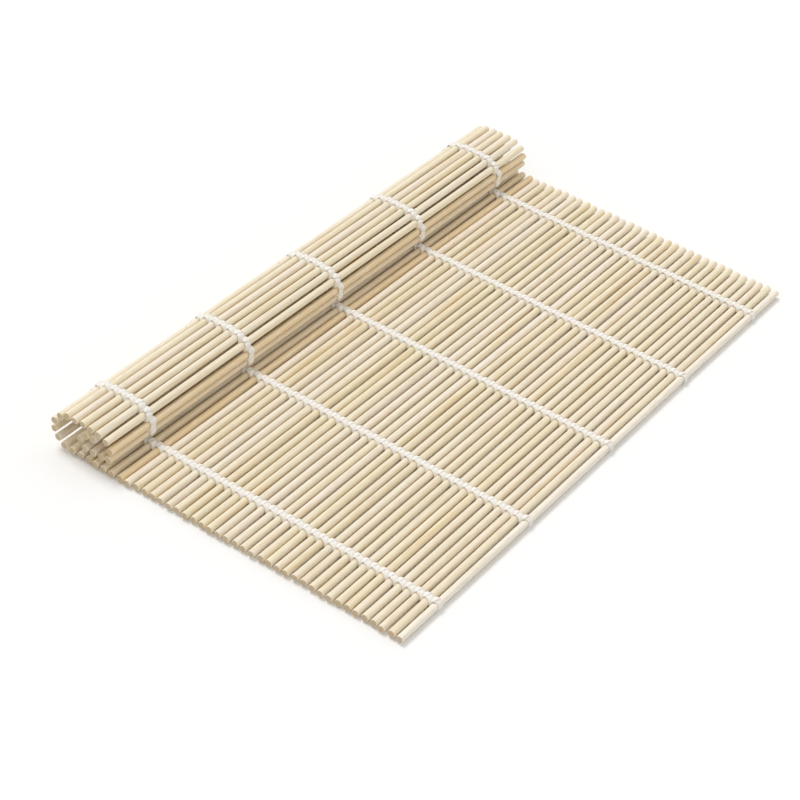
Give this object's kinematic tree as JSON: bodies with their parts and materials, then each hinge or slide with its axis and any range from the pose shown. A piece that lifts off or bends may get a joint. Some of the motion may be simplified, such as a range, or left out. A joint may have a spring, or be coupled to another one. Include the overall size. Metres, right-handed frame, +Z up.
{
  "type": "sushi rolling mat",
  "caption": "Bamboo sushi rolling mat of thin round sticks bound by rows of twined cotton thread, lying flat with one end rolled up; it unrolls and curls.",
  "frame": {"origin": "bottom centre of the mat as it lies, on the table plane under the threads", "axes": "+Z up, +Y along the sticks, +X from the roll towards the free edge"},
  "size_m": [0.1356, 0.24, 0.016],
  "materials": {
    "bamboo": "plain planed bamboo",
    "cotton": "white twined cotton thread"
  },
  "bodies": {
    "base": {"base_sticks": "bamboo", "base_threads": "cotton", "flat_threads": "cotton", "roll_threads": "cotton", "roll_stick_01": "bamboo", "roll_stick_02": "bamboo", "roll_stick_03": "bamboo"},
    "roll_stick_04": {"roll_stick_04": "bamboo"},
    "roll_stick_05": {"roll_stick_05": "bamboo"},
    "roll_stick_06": {"roll_stick_06": "bamboo"},
    "roll_stick_07": {"roll_stick_07": "bamboo"},
    "roll_stick_08": {"roll_stick_08": "bamboo"},
    "roll_panel_09": {"roll_stick_09": "bamboo", "roll_stick_10": "bamboo", "roll_stick_11": "bamboo", "roll_stick_12": "bamboo"},
    "roll_stick_13": {"roll_stick_13": "bamboo"},
    "roll_stick_14": {"roll_stick_14": "bamboo"},
    "roll_stick_15": {"roll_stick_15": "bamboo"},
    "roll_stick_16": {"roll_stick_16": "bamboo"},
    "roll_panel_17": {"roll_stick_17": "bamboo", "roll_stick_18": "bamboo"},
    "roll_stick_19": {"roll_stick_19": "bamboo"},
    "roll_stick_20": {"roll_stick_20": "bamboo"},
    "roll_stick_21": {"roll_stick_21": "bamboo", "core_ties": "cotton"},
    "flat_stick_01": {"flat_stick_01": "bamboo"},
    "flat_stick_02": {"flat_stick_02": "bamboo"},
    "flat_stick_03": {"flat_stick_03": "bamboo"},
    "flat_stick_04": {"flat_stick_04": "bamboo"},
    "flat_stick_05": {"flat_stick_05": "bamboo"},
    "flat_stick_06": {"flat_stick_06": "bamboo"},
    "flat_stick_07": {"flat_stick_07": "bamboo"},
    "flat_stick_08": {"flat_stick_08": "bamboo"},
    "flat_stick_09": {"flat_stick_09": "bamboo"},
    "flat_stick_10": {"flat_stick_10": "bamboo"},
    "flat_stick_11": {"flat_stick_11": "bamboo"},
    "flat_stick_12": {"flat_stick_12": "bamboo"},
    "flat_stick_13": {"flat_stick_13": "bamboo"},
    "flat_stick_14": {"flat_stick_14": "bamboo"},
    "flat_stick_15": {"flat_stick_15": "bamboo"},
    "flat_stick_16": {"flat_stick_16": "bamboo"},
    "flat_stick_17": {"flat_stick_17": "bamboo"},
    "flat_stick_18": {"flat_stick_18": "bamboo"},
    "flat_stick_19": {"flat_stick_19": "bamboo"},
    "flat_stick_20": {"flat_stick_20": "bamboo"},
    "flat_stick_21": {"flat_stick_21": "bamboo"},
    "flat_stick_22": {"flat_stick_22": "bamboo"},
    "flat_stick_23": {"flat_stick_23": "bamboo"},
    "flat_stick_24": {"flat_stick_24": "bamboo"},
    "flat_stick_25": {"flat_stick_25": "bamboo"},
    "flat_stick_26": {"flat_stick_26": "bamboo"},
    "flat_stick_27": {"flat_stick_27": "bamboo"},
    "flat_stick_28": {"flat_stick_28": "bamboo"},
    "flat_stick_29": {"flat_stick_29": "bamboo"},
    "flat_stick_30": {"flat_stick_30": "bamboo"},
    "flat_stick_31": {"flat_stick_31": "bamboo"},
    "flat_stick_32": {"flat_stick_32": "bamboo"},
    "flat_stick_33": {"flat_stick_33": "bamboo", "edge_ties": "cotton"}
  },
  "joints": [
    {"name": "unroll", "type": "hinge", "parent": "base", "child": "roll_stick_04", "pos_m": [-0.06183, 0, 0.00245], "axis": [0, -1, 0], "range_deg": [0, 29.95], "deforming": ["roll_threads"]},
    {"name": "unroll_05", "type": "hinge", "parent": "roll_stick_04", "child": "roll_stick_05", "pos_m": [-0.0646, 0, 0.00405], "axis": [0, -1, 0], "range_deg": [0, 31.43]},
    {"name": "unroll_06", "type": "hinge", "parent": "roll_stick_05", "child": "roll_stick_06", "pos_m": [-0.06613, 0, 0.00685], "axis": [0, -1, 0], "range_deg": [0, 31.43]},
    {"name": "unroll_07", "type": "hinge", "parent": "roll_stick_06", "child": "roll_stick_07", "pos_m": [-0.06598, 0, 0.01005], "axis": [0, -1, 0], "range_deg": [0, 31.43]},
    {"name": "unroll_08", "type": "hinge", "parent": "roll_stick_07", "child": "roll_stick_08", "pos_m": [-0.06418, 0, 0.0127], "axis": [0, -1, 0], "range_deg": [0, 31.43]},
    {"name": "unroll_09", "type": "hinge", "parent": "roll_stick_08", "child": "roll_panel_09", "pos_m": [-0.06126, 0, 0.01401], "axis": [0, -1, 0], "range_deg": [0, 25.01]},
    {"name": "unroll_13", "type": "hinge", "parent": "roll_panel_09", "child": "roll_stick_13", "pos_m": [-0.0485, 0, 0.01386], "axis": [0, -1, 0], "range_deg": [0, 28.8]},
    {"name": "unroll_14", "type": "hinge", "parent": "roll_stick_13", "child": "roll_stick_14", "pos_m": [-0.04571, 0, 0.01229], "axis": [0, -1, 0], "range_deg": [0, 28.83]},
    {"name": "unroll_15", "type": "hinge", "parent": "roll_stick_14", "child": "roll_stick_15", "pos_m": [-0.04403, 0, 0.00957], "axis": [0, -1, 0], "range_deg": [0, 34.89]},
    {"name": "unroll_16", "type": "hinge", "parent": "roll_stick_15", "child": "roll_stick_16", "pos_m": [-0.04421, 0, 0.00637], "axis": [0, -1, 0], "range_deg": [0, 71.43]},
    {"name": "unroll_17", "type": "hinge", "parent": "roll_stick_16", "child": "roll_panel_17", "pos_m": [-0.04729, 0, 0.00552], "axis": [0, -1, 0], "range_deg": [0, 16.54]},
    {"name": "unroll_19", "type": "hinge", "parent": "roll_panel_17", "child": "roll_stick_19", "pos_m": [-0.05369, 0, 0.00565], "axis": [0, -1, 0], "range_deg": [0, 43.43]},
    {"name": "unroll_20", "type": "hinge", "parent": "roll_stick_19", "child": "roll_stick_20", "pos_m": [-0.05597, 0, 0.0079], "axis": [0, -1, 0], "range_deg": [0, 84.21]},
    {"name": "unroll_21", "type": "hinge", "parent": "roll_stick_20", "child": "roll_stick_21", "pos_m": [-0.05396, 0, 0.01039], "axis": [0, -1, 0], "range_deg": [0, 47.49]},
    {"name": "curl", "type": "hinge", "parent": "base", "child": "flat_stick_01", "pos_m": [-0.03947, 0, 0.0017], "axis": [0, -1, 0], "range_deg": [-6, 6.5], "deforming": ["flat_threads"]},
    {"name": "curl_02", "type": "hinge", "parent": "flat_stick_01", "child": "flat_stick_02", "pos_m": [-0.03627, 0, 0.0017], "axis": [0, -1, 0], "range_deg": [-6, 6.5]},
    {"name": "curl_03", "type": "hinge", "parent": "flat_stick_02", "child": "flat_stick_03", "pos_m": [-0.03307, 0, 0.0017], "axis": [0, -1, 0], "range_deg": [-6, 6.5]},
    {"name": "curl_04", "type": "hinge", "parent": "flat_stick_03", "child": "flat_stick_04", "pos_m": [-0.02987, 0, 0.0017], "axis": [0, -1, 0], "range_deg": [-6, 6.5]},
    {"name": "curl_05", "type": "hinge", "parent": "flat_stick_04", "child": "flat_stick_05", "pos_m": [-0.02667, 0, 0.0017], "axis": [0, -1, 0], "range_deg": [-6, 6.5]},
    {"name": "curl_06", "type": "hinge", "parent": "flat_stick_05", "child": "flat_stick_06", "pos_m": [-0.02347, 0, 0.0017], "axis": [0, -1, 0], "range_deg": [-6, 6.5]},
    {"name": "curl_07", "type": "hinge", "parent": "flat_stick_06", "child": "flat_stick_07", "pos_m": [-0.02027, 0, 0.0017], "axis": [0, -1, 0], "range_deg": [-6, 6.5]},
    {"name": "curl_08", "type": "hinge", "parent": "flat_stick_07", "child": "flat_stick_08", "pos_m": [-0.01707, 0, 0.0017], "axis": [0, -1, 0], "range_deg": [-6, 6.5]},
    {"name": "curl_09", "type": "hinge", "parent": "flat_stick_08", "child": "flat_stick_09", "pos_m": [-0.01387, 0, 0.0017], "axis": [0, -1, 0], "range_deg": [-6, 6.5]},
    {"name": "curl_10", "type": "hinge", "parent": "flat_stick_09", "child": "flat_stick_10", "pos_m": [-0.01067, 0, 0.0017], "axis": [0, -1, 0], "range_deg": [-6, 6.5]},
    {"name": "curl_11", "type": "hinge", "parent": "flat_stick_10", "child": "flat_stick_11", "pos_m": [-0.00747, 0, 0.0017], "axis": [0, -1, 0], "range_deg": [-6, 6.5]},
    {"name": "curl_12", "type": "hinge", "parent": "flat_stick_11", "child": "flat_stick_12", "pos_m": [-0.00427, 0, 0.0017], "axis": [0, -1, 0], "range_deg": [-6, 6.5]},
    {"name": "curl_13", "type": "hinge", "parent": "flat_stick_12", "child": "flat_stick_13", "pos_m": [-0.00107, 0, 0.0017], "axis": [0, -1, 0], "range_deg": [-6, 6.5]},
    {"name": "curl_14", "type": "hinge", "parent": "flat_stick_13", "child": "flat_stick_14", "pos_m": [0.00213, 0, 0.0017], "axis": [0, -1, 0], "range_deg": [-6, 6.5]},
    {"name": "curl_15", "type": "hinge", "parent": "flat_stick_14", "child": "flat_stick_15", "pos_m": [0.00533, 0, 0.0017], "axis": [0, -1, 0], "range_deg": [-6, 6.5]},
    {"name": "curl_16", "type": "hinge", "parent": "flat_stick_15", "child": "flat_stick_16", "pos_m": [0.00853, 0, 0.0017], "axis": [0, -1, 0], "range_deg": [-6, 6.5]},
    {"name": "curl_17", "type": "hinge", "parent": "flat_stick_16", "child": "flat_stick_17", "pos_m": [0.01173, 0, 0.0017], "axis": [0, -1, 0], "range_deg": [-6, 6.5]},
    {"name": "curl_18", "type": "hinge", "parent": "flat_stick_17", "child": "flat_stick_18", "pos_m": [0.01493, 0, 0.0017], "axis": [0, -1, 0], "range_deg": [-6, 6.5]},
    {"name": "curl_19", "type": "hinge", "parent": "flat_stick_18", "child": "flat_stick_19", "pos_m": [0.01813, 0, 0.0017], "axis": [0, -1, 0], "range_deg": [-6, 6.5]},
    {"name": "curl_20", "type": "hinge", "parent": "flat_stick_19", "child": "flat_stick_20", "pos_m": [0.02133, 0, 0.0017], "axis": [0, -1, 0], "range_deg": [-6, 6.5]},
    {"name": "curl_21", "type": "hinge", "parent": "flat_stick_20", "child": "flat_stick_21", "pos_m": [0.02453, 0, 0.0017], "axis": [0, -1, 0], "range_deg": [-6, 6.5]},
    {"name": "curl_22", "type": "hinge", "parent": "flat_stick_21", "child": "flat_stick_22", "pos_m": [0.02773, 0, 0.0017], "axis": [0, -1, 0], "range_deg": [-6, 6.5]},
    {"name": "curl_23", "type": "hinge", "parent": "flat_stick_22", "child": "flat_stick_23", "pos_m": [0.03093, 0, 0.0017], "axis": [0, -1, 0], "range_deg": [-6, 6.5]},
    {"name": "curl_24", "type": "hinge", "parent": "flat_stick_23", "child": "flat_stick_24", "pos_m": [0.03413, 0, 0.0017], "axis": [0, -1, 0], "range_deg": [-6, 6.5]},
    {"name": "curl_25", "type": "hinge", "parent": "flat_stick_24", "child": "flat_stick_25", "pos_m": [0.03733, 0, 0.0017], "axis": [0, -1, 0], "range_deg": [-6, 6.5]},
    {"name": "curl_26", "type": "hinge", "parent": "flat_stick_25", "child": "flat_stick_26", "pos_m": [0.04053, 0, 0.0017], "axis": [0, -1, 0], "range_deg": [-6, 6.5]},
    {"name": "curl_27", "type": "hinge", "parent": "flat_stick_26", "child": "flat_stick_27", "pos_m": [0.04373, 0, 0.0017], "axis": [0, -1, 0], "range_deg": [-6, 6.5]},
    {"name": "curl_28", "type": "hinge", "parent": "flat_stick_27", "child": "flat_stick_28", "pos_m": [0.04693, 0, 0.0017], "axis": [0, -1, 0], "range_deg": [-6, 6.5]},
    {"name": "curl_29", "type": "hinge", "parent": "flat_stick_28", "child": "flat_stick_29", "pos_m": [0.05013, 0, 0.0017], "axis": [0, -1, 0], "range_deg": [-6, 6.5]},
    {"name": "curl_30", "type": "hinge", "parent": "flat_stick_29", "child": "flat_stick_30", "pos_m": [0.05333, 0, 0.0017], "axis": [0, -1, 0], "range_deg": [-6, 6.5]},
    {"name": "curl_31", "type": "hinge", "parent": "flat_stick_30", "child": "flat_stick_31", "pos_m": [0.05653, 0, 0.0017], "axis": [0, -1, 0], "range_deg": [-6, 6.5]},
    {"name": "curl_32", "type": "hinge", "parent": "flat_stick_31", "child": "flat_stick_32", "pos_m": [0.05973, 0, 0.0017], "axis": [0, -1, 0], "range_deg": [-6, 6.5]},
    {"name": "curl_33", "type": "hinge", "parent": "flat_stick_32", "child": "flat_stick_33", "pos_m": [0.06293, 0, 0.0017], "axis": [0, -1, 0], "range_deg": [-6, 6.5]}
  ],
  "couplings": [
    {"joint": "unroll_05", "follows": "unroll", "ratio": 1.0495},
    {"joint": "unroll_06", "follows": "unroll", "ratio": 1.0495},
    {"joint": "unroll_07", "follows": "unroll", "ratio": 1.0495},
    {"joint": "unroll_08", "follows": "unroll", "ratio": 1.0495},
    {"joint": "unroll_09", "follows": "unroll", "ratio": 0.83499},
    {"joint": "unroll_13", "follows": "unroll", "ratio": 0.96169},
    {"joint": "unroll_14", "follows": "unroll", "ratio": 0.96265},
    {"joint": "unroll_15", "follows": "unroll", "ratio": 1.1651},
    {"joint": "unroll_16", "follows": "unroll", "ratio": 2.3849},
    {"joint": "unroll_17", "follows": "unroll", "ratio": 0.55229},
    {"joint": "unroll_19", "follows": "unroll", "ratio": 1.45},
    {"joint": "unroll_20", "follows": "unroll", "ratio": 2.8117},
    {"joint": "unroll_21", "follows": "unroll", "ratio": 1.5858},
    {"joint": "curl_02", "follows": "curl", "ratio": 1},
    {"joint": "curl_03", "follows": "curl", "ratio": 1},
    {"joint": "curl_04", "follows": "curl", "ratio": 1},
    {"joint": "curl_05", "follows": "curl", "ratio": 1},
    {"joint": "curl_06", "follows": "curl", "ratio": 1},
    {"joint": "curl_07", "follows": "curl", "ratio": 1},
    {"joint": "curl_08", "follows": "curl", "ratio": 1},
    {"joint": "curl_09", "follows": "curl", "ratio": 1},
    {"joint": "curl_10", "follows": "curl", "ratio": 1},
    {"joint": "curl_11", "follows": "curl", "ratio": 1},
    {"joint": "curl_12", "follows": "curl", "ratio": 1},
    {"joint": "curl_13", "follows": "curl", "ratio": 1},
    {"joint": "curl_14", "follows": "curl", "ratio": 1},
    {"joint": "curl_15", "follows": "curl", "ratio": 1},
    {"joint": "curl_16", "follows": "curl", "ratio": 1},
    {"joint": "curl_17", "follows": "curl", "ratio": 1},
    {"joint": "curl_18", "follows": "curl", "ratio": 1},
    {"joint": "curl_19", "follows": "curl", "ratio": 1},
    {"joint": "curl_20", "follows": "curl", "ratio": 1},
    {"joint": "curl_21", "follows": "curl", "ratio": 1},
    {"joint": "curl_22", "follows": "curl", "ratio": 1},
    {"joint": "curl_23", "follows": "curl", "ratio": 1},
    {"joint": "curl_24", "follows": "curl", "ratio": 1},
    {"joint": "curl_25", "follows": "curl", "ratio": 1},
    {"joint": "curl_26", "follows": "curl", "ratio": 1},
    {"joint": "curl_27", "follows": "curl", "ratio": 1},
    {"joint": "curl_28", "follows": "curl", "ratio": 1},
    {"joint": "curl_29", "follows": "curl", "ratio": 1},
    {"joint": "curl_30", "follows": "curl", "ratio": 1},
    {"joint": "curl_31", "follows": "curl", "ratio": 1},
    {"joint": "curl_32", "follows": "curl", "ratio": 1},
    {"joint": "curl_33", "follows": "curl", "ratio": 1}
  ]
}
